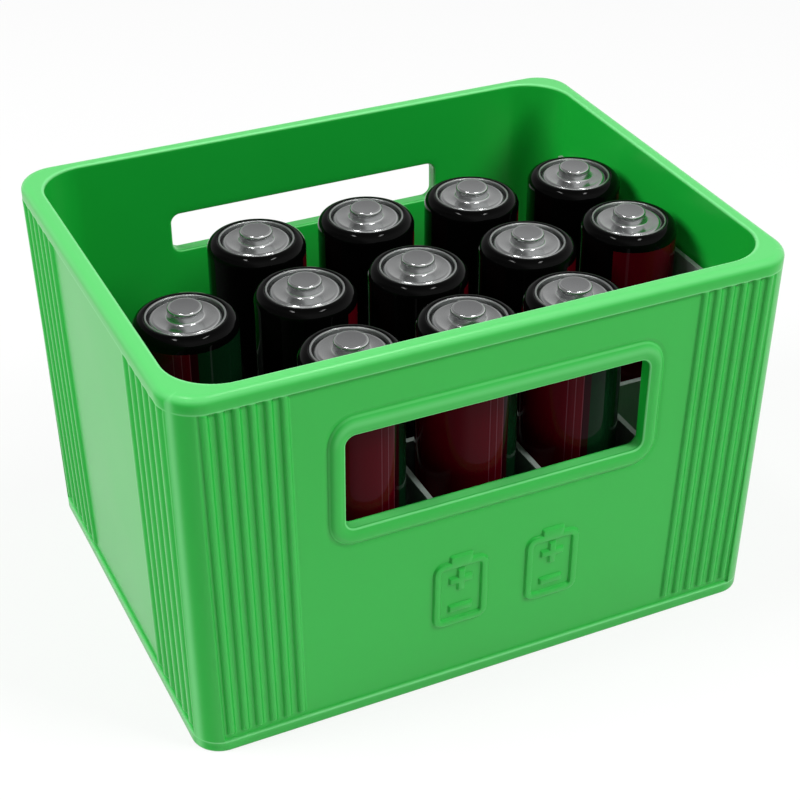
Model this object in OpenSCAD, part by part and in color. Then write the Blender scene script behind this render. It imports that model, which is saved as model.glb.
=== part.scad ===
// Open-top storage crate for round cells: a moulded crate with two grip slots,
// a lift-out grid of interlocking divider strips, and twelve cells standing in it.
// Millimetres. X runs along the long side, the front is at -Y, the table is z = 0.

/* [Crate] */
// Outer length at the rim
crate_l = 92; // [80:0.5:120]
// Outer width at the rim
crate_w = 71; // [62:0.5:95]
// Overall height
crate_h = 59; // [52:0.5:75]
// How far each outer wall leans in at the foot
outer_draft = 1.3; // [0.4:0.1:2]
// How far each inner wall leans in over the same height
inner_draft = 0.5; // [0.2:0.1:1]
// Width of the flat rim, which is the wall at its top
rim_w = 2.5; // [2:0.1:3.5]
// Outer corner radius at the rim
corner_r = 5.6; // [4:0.2:8]
// Inner corner radius at the rim
inner_corner_r = 7.4; // [5:0.2:9]
// Rounding of the outer top edge
edge_r = 1.2; // [0.6:0.1:2]
// Height of the collar band under the rim
collar_h = 2.4; // [1.6:0.1:5]
// Height of the foot band
foot_band_h = 1.8; // [1.2:0.1:4]
// Height of the floor's top above the table
floor_top = 5.4; // [3.5:0.1:7]
// Thickness of the floor
floor_t = 2; // [1.2:0.1:3]
// Width of the standing edge under the floor
foot_w = 2; // [1.5:0.1:4]

/* [Wall panels] */
// Width of the smooth corner posts
post_w = 3.5; // [3:0.1:8]
// How far the panels lie behind the posts
panel_recess = 0.45; // [0.2:0.05:0.7]
// Beads in each group
bead_count = 6; // [2:1:8]
// Spacing of the beads on the long walls
bead_pitch = 2.1; // [1.8:0.05:2.6]
// Spacing of the beads on the short walls
end_bead_pitch = 2.7; // [1.8:0.05:3.2]
// Width of the groove between two beads
bead_groove = 0.85; // [0.2:0.05:1.2]
// Height of a bead above its panel
bead_h = 0.45; // [0.3:0.05:0.6]
// Clear height between the foot band and the beads
bead_gap = 1; // [0.5:0.1:4]

/* [Grip slots] */
// Length of a grip slot
slot_l = 45.6; // [30:0.2:56]
// Height of the front slot
slot_h = 15.1; // [12:0.1:20]
// Height of the front slot's lower edge above the table
slot_z = 32.8; // [25:0.1:36]
// Height of the back slot
back_slot_h = 6.4; // [5:0.2:16]
// Height of the back slot's lower edge above the table
back_slot_z = 41.4; // [32:0.2:44]
// Corner radius of a slot
slot_r = 1.5; // [0.8:0.1:3]
// Width of the raised frame beside a slot
frame_w = 2.3; // [1:0.1:3]
// Width of the raised frame above and below a slot
frame_band = 2.8; // [1:0.1:3.4]
// Height of that frame above its panel
frame_h = 0.6; // [0.3:0.05:1]

/* [Sign] */
// Width of one upright cell sign
sign_w = 8.4; // [5:0.2:10]
// Height of one cell sign without its tip
sign_h = 11.2; // [7:0.2:12]
// Distance between the two signs' centres
sign_pitch = 14.6; // [11:0.2:20]
// How far the pair of signs stands to the right of the wall's middle
sign_x = 2; // [-4:0.5:4]
// Height of the signs' middle above the table
sign_z = 16.2; // [12:0.2:20]
// Stroke of the signs' lines
sign_line = 1; // [0.6:0.1:1.4]
// Height of the signs above their panel
sign_relief = 0.4; // [0.2:0.05:0.6]

/* [Divider grid] */
// Thickness of a strip
strip_t = 0.9; // [0.6:0.05:1.2]
// Height of the strips' top edge above the table
strip_top = 31; // [20:0.2:32]
// Thickness of an end panel
end_t = 0.8; // [0.6:0.05:1.2]
// Height of the end panels' top edge above the table
end_top = 48.4; // [32:0.2:50]
// Gap between a strip and the side of the notch that it sits in
notch_gap = 0.1; // [0.05:0.05:0.2]
// Gap between the grid and the crate
grid_gap = 0.2; // [0.1:0.05:0.5]

/* [Cells] */
// Diameter of a cell
cell_d = 14.4; // [10:0.1:14.5]
// Height of a cell with its tip
cell_h = 50.4; // [44:0.1:50.5]
// Thickness of the printed jacket
jacket_t = 0.35; // [0.2:0.05:0.5]
// Rounding of the jacket's shoulder
shoulder_r = 1.5; // [0.8:0.1:1.8]
// Diameter of the opening in the jacket's rolled top
mouth_d = 11.2; // [8:0.1:11.4]
// Diameter of the contact plate
plate_d = 9.9; // [6:0.1:10]
// Diameter of the tip
tip_d = 4.8; // [3.5:0.1:5.5]
// Height of the tip above the plate
tip_h = 1.6; // [1:0.1:2]
// Gap between the parts of a cell
part_gap = 0.04; // [0.02:0.01:0.06]
// Gap between a loose piece and the crate's floor
seat_gap = 0.05; // [0.02:0.01:0.1]

/* [Hidden] */
$fn = 64;
overshoot = 1;
columns = 5;
rows = 4;
// How deep a raised shape starts below its panel, so that it grows out of the wall
root = 0.2;
// Inner corner radius of the signs' outline
sign_hole_r = 0.5;
// Flats that stand in for the round of the rim's outer edge
edge_steps = 3;
// How far the recess under the floor tapers on each side
foot_taper = 0.3;

// Cells that stand in the crate: column, row, and how far each stands off its pocket's middle
CELLS = [
    [1, 2, -0.7, 0.4], [2, 2, -0.3, 0.4], [3, 2, 0.1, 0], [4, 2, 0.7, -0.4],
    [0, 1, -0.3, 0.4], [1, 1, 0.1, 0.4], [2, 1, 0, -0.4], [3, 1, 0.7, -0.2], [4, 1, 0.7, -0.4],
    [1, 0, -0.5, -0.4], [2, 0, 0, 0.4], [3, 0, -0.7, 0]
];
cell_count = len(CELLS);

function cell_name(i) = str("cell_", i + 1 < 10 ? "0" : "", i + 1);
function long_name(i) = str("long_strip_", i + 1);
function cross_name(i) = str("cross_strip_", i + 1);

CELL_PARTS = ["jacket", "can", "washer", "contact_cap"];

// A length to the nearest micrometre, so that the round corners and the flat walls meet
function um(length) = round(1000 * length) / 1000;

// Draft: how far the outer and the inner walls lean in at height z
function outer_inset(z) = outer_draft * (crate_h - z) / crate_h;
function inner_inset(z) = rim_w + inner_draft * (crate_h - z) / crate_h;
draft_angle = atan(outer_draft / crate_h);

// Space inside the crate at the floor, where the grid and the cells stand
inner_half_l = crate_l / 2 - inner_inset(floor_top);
inner_half_w = crate_w / 2 - inner_inset(floor_top);
inner_floor_r = inner_corner_r - (inner_inset(floor_top) - rim_w);

// Divider grid
seat_z = floor_top + seat_gap;
grid_half_l = inner_half_l - grid_gap;
grid_half_w = inner_half_w - grid_gap;
end_half_w = inner_half_w - inner_floor_r;
pocket_l = (2 * (grid_half_l - end_t) - (columns - 1) * strip_t) / columns;
pocket_w = (2 * inner_half_w - (rows - 1) * strip_t) / rows;
pitch_x = pocket_l + strip_t;
pitch_y = pocket_w + strip_t;
strip_h = strip_top - seat_z;
notch_depth = strip_h / 2 + notch_gap;
function column_x(c) = (c - (columns - 1) / 2) * pitch_x;
function row_y(r) = (r - (rows - 1) / 2) * pitch_y;

// Wall panels, measured up the leaning wall
panel_z0 = foot_band_h;
panel_z1 = crate_h - collar_h;
// Radius of the round bar whose cap, bead_h high, is as wide as a bead
function bead_r(pitch) = (pow((pitch - bead_groove) / 2, 2) + bead_h * bead_h) / (2 * bead_h);

// Cell
cell_r = cell_d / 2;
plate_z = cell_h - tip_h;
// The jacket's rolled top stands a little above the contact plate, the can's top below it
jacket_rise = 0.25;
can_drop = 0.9;
jacket_top = plate_z + jacket_rise;
can_top = plate_z - can_drop;
can_r = cell_r - jacket_t - part_gap;
mouth_r = mouth_d / 2;
plate_r = plate_d / 2;
tip_r = tip_d / 2;
// The can's rolled lip, which stands inside the jacket's mouth
lip_t = 0.33;
// The insulating washer lies on the can's top, under the plate's rim
washer_t = 0.35;
washer_lap = 1;
plate_edge_r = 0.2;
tip_edge_r = 0.35;
// Foot: the can's round contact stands below the jacket's rolled lower edge
foot_r = 0.8;
base_inset = 2.2;
base_r = cell_r - base_inset;
base_h = 0.35;
jacket_z = 0.2;
can_z = jacket_z + jacket_t;

// A box with rounded upright corners that leans: l, w and r are its size before the insets
// in0 at z0 and in1 at z1. The corners' centres stay put, so every side is a plane or a cone.
module leaning_box(l, w, r, z0, z1, in0, in1) {
    cx = um(l / 2 - r);
    cy = um(w / 2 - r);
    r0 = um(r - in0);
    r1 = um(r - in1);
    base = um(z0);
    h = um(z1) - base;
    for (sx = [-1, 1], sy = [-1, 1])
        translate([sx * cx, sy * cy, base]) cylinder(h = h, r1 = r0, r2 = r1);
    translate([0, 0, base]) {
        rotate([90, 0, 0]) linear_extrude(height = 2 * cy, center = true)
            polygon([[-cx - r0, 0], [cx + r0, 0], [cx + r1, h], [-cx - r1, h]]);
        rotate([90, 0, 90]) linear_extrude(height = 2 * cx, center = true)
            polygon([[-cy - r0, 0], [cy + r0, 0], [cy + r1, h], [-cy - r1, h]]);
    }
}

module rounded_rect(w, h, r) {
    square([w - 2 * r, h], center = true);
    square([w, h - 2 * r], center = true);
    for (sx = [-1, 1], sy = [-1, 1])
        translate([sx * (w / 2 - r), sy * (h / 2 - r)]) circle(r);
}

// Puts its children on a leaning outer wall: X along the wall, Y up it, Z out of it
module on_wall(turn, half) {
    rotate([0, 0, turn]) translate([0, -half + outer_draft, 0]) rotate([90 + draft_angle, 0, 0])
        children();
}

// The sunken field between the corner posts, the foot band and the collar
module panel_field(half) {
    foot_x = half - outer_inset(panel_z0) - post_w;
    top_x = half - outer_inset(panel_z1) - post_w;
    translate([0, 0, -panel_recess]) linear_extrude(height = panel_recess + overshoot)
        polygon([[-foot_x, panel_z0], [foot_x, panel_z0], [top_x, panel_z1], [-top_x, panel_z1]]);
}

// One rounded bead with a round lower end, hanging from the collar
module bead(half, pitch, side, index) {
    x = half - outer_inset(panel_z1) - post_w - (index + 0.5) * pitch;
    top = panel_z1 + panel_recess;
    length = top - panel_z0 - bead_gap - (pitch - bead_groove) / 2;
    translate([side * x, top, -panel_recess - bead_r(pitch) + bead_h])
        rotate([90, 0, -side * draft_angle]) {
            cylinder(h = length, r = bead_r(pitch));
            translate([0, 0, length]) sphere(bead_r(pitch));
        }
}

module beads(half, pitch) {
    for (side = [-1, 1], i = [0 : bead_count - 1]) bead(half, pitch, side, i);
}

// The raised frame round a grip slot whose lower edge is z above the table
module slot_frame(z, h) {
    translate([0, z + h / 2, -panel_recess - root]) linear_extrude(height = frame_h + root)
        rounded_rect(slot_l + 2 * frame_w, h + 2 * frame_band, slot_r + frame_w);
}

module grip_slot(turn, z, h) {
    rotate([0, 0, turn]) translate([0, 0, z + h / 2]) rotate([90, 0, 0])
        linear_extrude(height = crate_w / 2 + overshoot) rounded_rect(slot_l, h, slot_r);
}

// An upright cell in outline with a plus and a minus inside it
module cell_sign() {
    tip_w = 0.4 * sign_w;
    mark = 0.42 * sign_w;
    plus_y = 0.2 * sign_h;
    minus_y = -0.25 * sign_h;
    difference() {
        union() {
            rounded_rect(sign_w, sign_h, sign_line + sign_hole_r);
            translate([-tip_w / 2, 0]) square([tip_w, sign_h / 2 + sign_line]);
        }
        rounded_rect(sign_w - 2 * sign_line, sign_h - 2 * sign_line, sign_hole_r);
    }
    translate([0, plus_y]) {
        square([mark, sign_line], center = true);
        square([sign_line, mark], center = true);
    }
    translate([0, minus_y]) square([mark, sign_line], center = true);
}

module signs() {
    for (side = [-1, 1])
        translate([sign_x + side * sign_pitch / 2, sign_z, -panel_recess - root])
            linear_extrude(height = sign_relief + root) cell_sign();
}

module crate_outside() {
    edge_z = crate_h - edge_r;
    leaning_box(crate_l, crate_w, corner_r, 0, edge_z, outer_draft, outer_inset(edge_z));
    for (i = [0 : edge_steps - 1]) {
        a0 = 90 * i / edge_steps;
        a1 = 90 * (i + 1) / edge_steps;
        z0 = edge_z + edge_r * sin(a0);
        z1 = edge_z + edge_r * sin(a1);
        leaning_box(crate_l, crate_w, corner_r, z0, z1,
            outer_inset(z0) + edge_r * (1 - cos(a0)), outer_inset(z1) + edge_r * (1 - cos(a1)));
    }
}

module crate_cavity() {
    top = crate_h + overshoot;
    leaning_box(crate_l - 2 * rim_w, crate_w - 2 * rim_w, inner_corner_r, floor_top, top,
        inner_inset(floor_top) - rim_w, inner_inset(top) - rim_w);
}

module foot_recess() {
    depth = floor_top - floor_t;
    margin = 2 * (outer_draft + foot_w);
    leaning_box(crate_l - margin, crate_w - margin, corner_r - foot_w, -overshoot, depth, 0, foot_taper);
}

module crate() color([0.22, 0.7, 0.33]) {
    difference() {
        union() {
            difference() {
                crate_outside();
                for (turn = [0, 180]) on_wall(turn, crate_w / 2) panel_field(crate_l / 2);
                for (turn = [90, 270]) on_wall(turn, crate_l / 2) panel_field(crate_w / 2);
            }
            for (turn = [0, 180]) on_wall(turn, crate_w / 2) {
                beads(crate_l / 2, bead_pitch);
                signs();
            }
            on_wall(0, crate_w / 2) slot_frame(slot_z, slot_h);
            on_wall(180, crate_w / 2) slot_frame(back_slot_z, back_slot_h);
            for (turn = [90, 270]) on_wall(turn, crate_l / 2) beads(crate_w / 2, end_bead_pitch);
        }
        crate_cavity();
        foot_recess();
        grip_slot(0, slot_z, slot_h);
        grip_slot(180, back_slot_z, back_slot_h);
    }
}

// Strips along the length are notched from above, the ones across from below
module long_strip(i) color([0.62, 0.66, 0.64]) {
    y = (row_y(i) + row_y(i + 1)) / 2;
    difference() {
        translate([-grid_half_l, y - strip_t / 2, seat_z]) cube([2 * grid_half_l, strip_t, strip_h]);
        for (c = [0 : columns - 2])
            notch_above((column_x(c) + column_x(c + 1)) / 2, y, strip_t);
        for (side = [-1, 1]) notch_above(side * (grid_half_l - end_t / 2), y, end_t);
    }
}

module notch_above(x, y, thickness) {
    w = thickness + 2 * notch_gap;
    translate([x - w / 2, y - strip_t, strip_top - notch_depth])
        cube([w, 2 * strip_t, notch_depth + overshoot]);
}

module notch_below(x, y, thickness) {
    w = strip_t + 2 * notch_gap;
    translate([x - thickness, y - w / 2, seat_z - overshoot])
        cube([2 * thickness, w, notch_depth + overshoot]);
}

module cross_strip(i) color([0.62, 0.66, 0.64]) {
    x = (column_x(i) + column_x(i + 1)) / 2;
    difference() {
        translate([x - strip_t / 2, -grid_half_w, seat_z]) cube([strip_t, 2 * grid_half_w, strip_h]);
        for (r = [0 : rows - 2]) notch_below(x, (row_y(r) + row_y(r + 1)) / 2, strip_t);
    }
}

module end_panel(side) color([0.66, 0.7, 0.68]) {
    x = side * (grid_half_l - end_t / 2);
    difference() {
        translate([x - end_t / 2, -end_half_w, seat_z]) cube([end_t, 2 * end_half_w, end_top - seat_z]);
        for (r = [0 : rows - 2]) notch_below(x, (row_y(r) + row_y(r + 1)) / 2, end_t);
    }
}

// Half outline of a round body with a rounded top edge and a rounded lower edge
module half_outline(r, z0, z1, top_r, low_r) {
    translate([0, z0 + low_r]) square([r, z1 - z0 - top_r - low_r]);
    translate([0, z0 + low_r]) square([r - top_r, z1 - z0 - low_r]);
    translate([0, z0]) square([r - low_r, z1 - z0 - top_r]);
    translate([r - top_r, z1 - top_r]) circle(top_r);
    translate([r - low_r, z0 + low_r]) circle(low_r);
}

module at_cell(i) {
    c = CELLS[i];
    translate([column_x(c[0]) + c[2], row_y(c[1]) + c[3], seat_z]) children();
}

module cell_jacket(i) color([0.1, 0.07, 0.07]) at_cell(i) rotate_extrude() difference() {
    half_outline(cell_r, jacket_z, jacket_top, shoulder_r, foot_r);
    half_outline(cell_r - jacket_t, can_z, jacket_top - jacket_t,
        shoulder_r - jacket_t, foot_r - jacket_t);
    square([mouth_r, cell_h]);
}

module cell_can(i) color([0.7, 0.7, 0.68]) at_cell(i) rotate_extrude() {
    half_outline(can_r, can_z + part_gap, can_top, shoulder_r, foot_r - jacket_t);
    square([base_r, base_h + can_z]);
    // The lip grows out of the shoulder, however far out the mouth puts it
    translate([mouth_r - part_gap - lip_t, can_top - shoulder_r])
        square([lip_t, jacket_top - can_top + shoulder_r]);
}

module cell_washer(i) color([0.04, 0.04, 0.04]) at_cell(i) rotate_extrude()
    translate([plate_r - washer_lap, can_top + part_gap])
        square([mouth_r - lip_t - 2 * part_gap - plate_r + washer_lap, washer_t]);

module cell_contact_cap(i) color([0.78, 0.79, 0.79]) at_cell(i) rotate_extrude() {
    cap_z = can_top + washer_t + 2 * part_gap;
    translate([0, cap_z]) square([plate_r, plate_z - cap_z - plate_edge_r]);
    translate([0, cap_z]) square([plate_r - plate_edge_r, plate_z - cap_z]);
    translate([plate_r - plate_edge_r, plate_z - plate_edge_r]) circle(plate_edge_r);
    translate([0, cap_z]) square([tip_r, cell_h - cap_z - tip_edge_r]);
    translate([0, cap_z]) square([tip_r - tip_edge_r, cell_h - cap_z]);
    translate([tip_r - tip_edge_r, cell_h - tip_edge_r]) circle(tip_edge_r);
}

crate();
end_panel(-1);  // end_panel_left
end_panel(1);  // end_panel_right
for (i = [0 : rows - 2])
    long_strip(i);
for (i = [0 : columns - 2])
    cross_strip(i);
for (i = [0 : cell_count - 1]) {
    cell_jacket(i);
    cell_can(i);
    cell_washer(i);
    cell_contact_cap(i);
}
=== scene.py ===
import logging
import math
from dataclasses import dataclass
from enum import Enum

import bmesh
import bpy
import numpy as np
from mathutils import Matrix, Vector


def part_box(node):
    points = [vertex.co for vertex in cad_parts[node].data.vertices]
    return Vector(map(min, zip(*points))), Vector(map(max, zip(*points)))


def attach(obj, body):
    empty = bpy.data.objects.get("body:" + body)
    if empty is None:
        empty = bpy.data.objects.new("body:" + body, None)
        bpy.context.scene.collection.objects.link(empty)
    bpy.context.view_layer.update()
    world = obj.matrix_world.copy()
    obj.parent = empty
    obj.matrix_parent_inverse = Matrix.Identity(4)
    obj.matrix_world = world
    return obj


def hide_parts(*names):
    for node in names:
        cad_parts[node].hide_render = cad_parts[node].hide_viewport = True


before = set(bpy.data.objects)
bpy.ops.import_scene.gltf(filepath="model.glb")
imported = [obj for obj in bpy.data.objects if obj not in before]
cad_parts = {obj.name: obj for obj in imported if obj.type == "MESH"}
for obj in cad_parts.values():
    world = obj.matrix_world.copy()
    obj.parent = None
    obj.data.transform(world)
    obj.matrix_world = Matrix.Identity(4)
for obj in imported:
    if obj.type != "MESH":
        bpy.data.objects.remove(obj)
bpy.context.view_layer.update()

MM = 0.001
# Points closer than this, in metres, become one
MERGE = 2e-7
COLOURS = {"data_type": "RGBA"}
# The radius, in millimetres, at which the second UV number of a cell's metal is 1
UV_RADIUS = 5.0
WHITE = (1, 1, 1, 1)
log = logging.getLogger("storage_crate")


class Slot(Enum):
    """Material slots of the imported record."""

    CRATE = "crate_plastic"
    STRIP = "strip_plastic"
    JACKET = "cell_jacket"
    CAN = "cell_can"
    WASHER = "cell_washer"
    CONTACT = "cell_contact"


class Side(Enum):
    """The two long walls: each turns the front wall's shapes by this sign about the upright axis."""

    FRONT = 1.0
    BACK = -1.0


# ---------------------------------------------------------------- small tools


def linear(colour: str) -> tuple[float, float, float, float]:
    """Turns an sRGB hex colour to Blender's linear one.

    Args:
        colour: The colour, as #RRGGBB.

    Returns:
        Linear red, green, blue and an alpha of one.
    """
    parts = np.array([int(colour[i : i + 2], 16) for i in (1, 3, 5)]) / 255.0
    flat = np.where(parts <= 0.04045, parts / 12.92, ((parts + 0.055) / 1.055) ** 2.4)
    return (*flat.tolist(), 1.0)


def add(tree: bpy.types.NodeTree, kind: str, settings: dict | None = None,
        values: dict | None = None, links: dict | None = None) -> bpy.types.Node:
    """Adds one node to a tree with its settings, its socket values and its incoming links.

    Args:
        tree: The node tree.
        kind: Blender's name of the node type, after ShaderNode.
        settings: Properties of the node itself.
        values: Unlinked input sockets, by name or index, and their values.
        links: Input sockets, by name or index, and the output socket each takes, or the node
            whose first output in use it takes.

    Returns:
        The new node.
    """
    node = tree.nodes.new("ShaderNode" + kind)
    for key, value in (settings or {}).items():
        setattr(node, key, value)
    for key, value in (values or {}).items():
        node.inputs[key].default_value = value
    for key, source in (links or {}).items():
        if isinstance(source, bpy.types.Node):
            source = next(socket for socket in source.outputs if socket.enabled)
        tree.links.new(source, node.inputs[key])
    return node


def new_material(name: str) -> tuple[bpy.types.Material, bpy.types.NodeTree]:
    """Makes an empty node material.

    Args:
        name: The material's name.

    Returns:
        The material and its cleared node tree.
    """
    material = bpy.data.materials.new(name)
    material.use_nodes = True
    material.node_tree.nodes.clear()
    return material, material.node_tree


def show(data: bpy.types.ID) -> bpy.types.Object:
    """Puts a mesh, a lamp or a camera into the scene as an object of the same name."""
    obj = bpy.data.objects.new(data.name, data)
    bpy.context.scene.collection.objects.link(obj)
    return obj


def smooth(t: np.ndarray) -> np.ndarray:
    """S-curve from 0 to 1: three times t squared minus twice t cubed, t held between 0 and 1."""
    t = np.clip(t, 0.0, 1.0)
    return t * t * (3.0 - 2.0 * t)


def grid_faces(index: np.ndarray) -> np.ndarray:
    """Joins neighbouring entries of a table of vertex numbers with quads, row by row."""
    corners = [index[:-1, :-1], index[:-1, 1:], index[1:, 1:], index[1:, :-1]]
    return np.stack(corners, axis=-1).reshape(-1, 4)


def closed_grid(rows: int, columns: int, first: int = 0) -> np.ndarray:
    """Table of vertex numbers for rings of points, with the first column again at the end."""
    index = first + np.arange(rows * columns).reshape(rows, columns)
    return np.column_stack([index, index[:, 0]])


def stand_in(mesh: bpy.types.Mesh, body: str, material: bpy.types.Material,
             node: str) -> bpy.types.Object:
    """Makes a mesh the visible piece of a CAD node, moving with the node's body.

    Args:
        mesh: The piece's mesh, which gives it its name.
        body: The CAD body it moves with.
        material: Its material.
        node: The CAD node it stands for.

    Returns:
        The piece.
    """
    obj = show(mesh)
    mesh.materials.append(material)
    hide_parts(node)
    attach(obj, body)
    return obj


def smooth_mesh(name: str, points: np.ndarray, faces: list, wrap: np.ndarray | None = None,
                edge: np.ndarray | None = None) -> bpy.types.Mesh:
    """Puts arrays into a closed mesh: doubles merged, faces turned outwards and shaded smooth.

    Args:
        name: The mesh's name.
        points: Vertex places in millimetres.
        faces: Vertex numbers of each face.
        wrap: The UV place of every face corner, in the order of the faces.
        edge: How strongly each vertex takes the painted highlight, from 0 to 1.

    Returns:
        The mesh.
    """
    mesh = bpy.data.meshes.new(name)
    mesh.from_pydata((points * MM).tolist(), [], faces)
    if wrap is not None:
        layer = mesh.uv_layers.new(name="wrap")
        layer.uv.foreach_set("vector", wrap.astype(np.float32).ravel())
    if edge is not None:
        # Stores the painted highlight strength of every vertex
        rubbed = mesh.attributes.new("rubbed_edge", "FLOAT", "POINT")
        rubbed.data.foreach_set("value", edge.astype(np.float32))
    work = bmesh.new()
    work.from_mesh(mesh)
    bmesh.ops.remove_doubles(work, verts=work.verts, dist=MERGE)
    bmesh.ops.recalc_face_normals(work, faces=work.faces)
    for face in work.faces:
        face.smooth = True
    work.to_mesh(mesh)
    work.free()
    return mesh


# ------------------------------------------------------------------- finishes


class Finish:
    """A finish: its fields say what the real one is, and dress() draws its pattern."""

    def dress(self, tree: bpy.types.NodeTree) -> tuple[dict, dict]:
        """Adds the pattern's nodes.

        Args:
            tree: The material's node tree.

        Returns:
            The surface's set sockets and its linked ones.
        """
        raise NotImplementedError

    def material(self) -> bpy.types.Material:
        """Builds the material: the pattern's nodes and the surface that takes them.

        Returns:
            The material.
        """
        material, tree = new_material(self.name)
        surface = add(tree, "BsdfPrincipled", {}, *self.dress(tree))
        add(tree, "OutputMaterial", links={"Surface": surface})
        return material


@dataclass(frozen=True)
class MouldedPolypropylene(Finish):
    """Polypropylene coloured all through and injection moulded: semi-gloss, with a faint pebble
    from the polished mould and slow flow marks in the colour, and a pale green painted on as
    highlight."""

    name: str = "Polypropylene_moulded_green"
    base: str = "#15AE35"
    flow: str = "#1BB43C"
    # Pale green painted on the rim, the corners' rounds, ledges and slot edges as painted highlight
    rubbed: str = "#74D583"
    roughness: tuple[float, float] = (0.26, 0.35)
    ior: float = 1.5
    pebble_mm: float = 0.9
    flow_mm: float = 24.0

    def dress(self, tree: bpy.types.NodeTree) -> tuple[dict, dict]:
        """Flow marks and the painted highlight in the colour, the pebble as bump."""
        place = add(tree, "TexCoord").outputs["Object"]
        flow = add(tree, "TexNoise", {}, {"Scale": 1 / (self.flow_mm * MM), "Detail": 2.0,
                                          "Roughness": 0.5}, {"Vector": place})
        tone = add(tree, "Mix", COLOURS, {"A": linear(self.base), "B": linear(self.flow)},
                   {"Factor": flow})
        # How much painted highlight each vertex takes
        rubbed = add(tree, "Attribute", {"attribute_name": "rubbed_edge"}).outputs["Fac"]
        colour = add(tree, "Mix", COLOURS, {"B": linear(self.rubbed)},
                     {"Factor": rubbed, "A": tone})
        pebble = add(tree, "TexNoise", {}, {"Scale": 1 / (self.pebble_mm * MM), "Detail": 3.0,
                                            "Roughness": 0.6}, {"Vector": place})
        gloss = add(tree, "MapRange", {}, {"To Min": self.roughness[0],
                                           "To Max": self.roughness[1]}, {"Value": flow})
        bump = add(tree, "Bump", {}, {"Strength": 0.06, "Distance": 0.05 * MM},
                   {"Height": pebble})
        return {"IOR": self.ior}, {"Base Color": colour, "Roughness": gloss, "Normal": bump}


@dataclass(frozen=True)
class ExtrudedSheet(Finish):
    """Thin polystyrene sheet, extruded and die cut: matt pale grey with a fine grain along it."""

    name: str = "Polystyrene_sheet_grey"
    base: str = "#9BA69F"
    shade: str = "#87928B"
    roughness: float = 0.5
    ior: float = 1.57
    grain_mm: float = 0.5
    stretch: float = 0.12

    def dress(self, tree: bpy.types.NodeTree) -> tuple[dict, dict]:
        """The same grain in the colour and as bump, stretched upwards."""
        place = add(tree, "TexCoord").outputs["Object"]
        drawn = add(tree, "Mapping", {}, {"Scale": (1.0, 1.0, self.stretch)}, {"Vector": place})
        grain = add(tree, "TexNoise", {}, {"Scale": 1 / (self.grain_mm * MM), "Detail": 4.0},
                    {"Vector": drawn})
        colour = add(tree, "Mix", COLOURS, {"A": linear(self.base), "B": linear(self.shade)},
                     {"Factor": grain})
        bump = add(tree, "Bump", {}, {"Strength": 0.2, "Distance": 0.03 * MM}, {"Height": grain})
        return ({"Roughness": self.roughness, "IOR": self.ior},
                {"Base Color": colour, "Normal": bump})


@dataclass(frozen=True)
class PrintedShrinkWrap(Finish):
    """Printed polyvinyl chloride sleeve, shrunk on with heat: high gloss and near-black, a dark
    red and a dark green field side by side with fine pale lines between them, all under a black
    head band that is drawn tight over the shoulder."""

    name: str = "Vinyl_shrink_wrap_printed"
    black: str = "#030303"
    red: str = "#43000A"
    edge: str = "#1E0106"
    green: str = "#05200F"
    line: str = "#54222B"
    head_band: float = 47.0 / 50.4
    red_from: float = 0.10
    green_from: float = 0.46
    green_to: float = 0.72
    stripe_pitch: float = 0.0243
    stripe_w: float = 0.0032
    stripes: int = 3
    roughness: float = 0.06
    ior: float = 1.25
    shine: float = 0.22
    ripple_mm: float = 3.0
    stretch: float = 0.35

    def dress(self, tree: bpy.types.NodeTree) -> tuple[dict, dict]:
        """Fields, lines and head band by the sleeve's UV, which runs round the cell and up it,
        0 to 1 each, and the ripples of the shrunk film as bump."""
        wrap = add(tree, "UVMap", {"uv_map": "wrap"})
        split = add(tree, "SeparateXYZ", links={"Vector": wrap})
        turn = add(tree, "Math", {"operation": "FRACT"}, links={0: split.outputs["X"]})
        bare = linear(self.black)
        seam = self.green_from - self.stripe_pitch
        below = {}
        for start, tone in ((self.red_from, self.red), (seam, self.edge),
                            (self.green_from, self.green), (self.green_to, self.black)):
            past = add(tree, "Math", {"operation": "GREATER_THAN"}, {1: start}, {0: turn})
            colour = add(tree, "Mix", COLOURS, {"A": bare, "B": linear(tone)},
                         {"Factor": past, **below})
            below = {"A": colour}
        for i in range(self.stripes):
            middle = self.green_from - (i + 1) * self.stripe_pitch
            near = add(tree, "Math", {"operation": "COMPARE"},
                       {1: middle, 2: self.stripe_w / 2}, {0: turn})
            colour = add(tree, "Mix", COLOURS, {"B": linear(self.line)},
                         {"Factor": near, "A": colour})
        head = add(tree, "Math", {"operation": "GREATER_THAN"}, {1: self.head_band},
                   {0: split.outputs["Y"]})
        colour = add(tree, "Mix", COLOURS, {"B": bare}, {"Factor": head, "A": colour})
        place = add(tree, "TexCoord").outputs["Object"]
        drawn = add(tree, "Mapping", {}, {"Scale": (1.0, 1.0, self.stretch)}, {"Vector": place})
        ripple = add(tree, "TexNoise", {}, {"Scale": 1 / (self.ripple_mm * MM), "Detail": 1.0},
                     {"Vector": drawn})
        bump = add(tree, "Bump", {}, {"Strength": 0.1, "Distance": 0.05 * MM}, {"Height": ripple})
        return ({"Roughness": self.roughness, "IOR": self.ior, "Specular IOR Level": self.shine},
                {"Base Color": colour, "Normal": bump})


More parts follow.
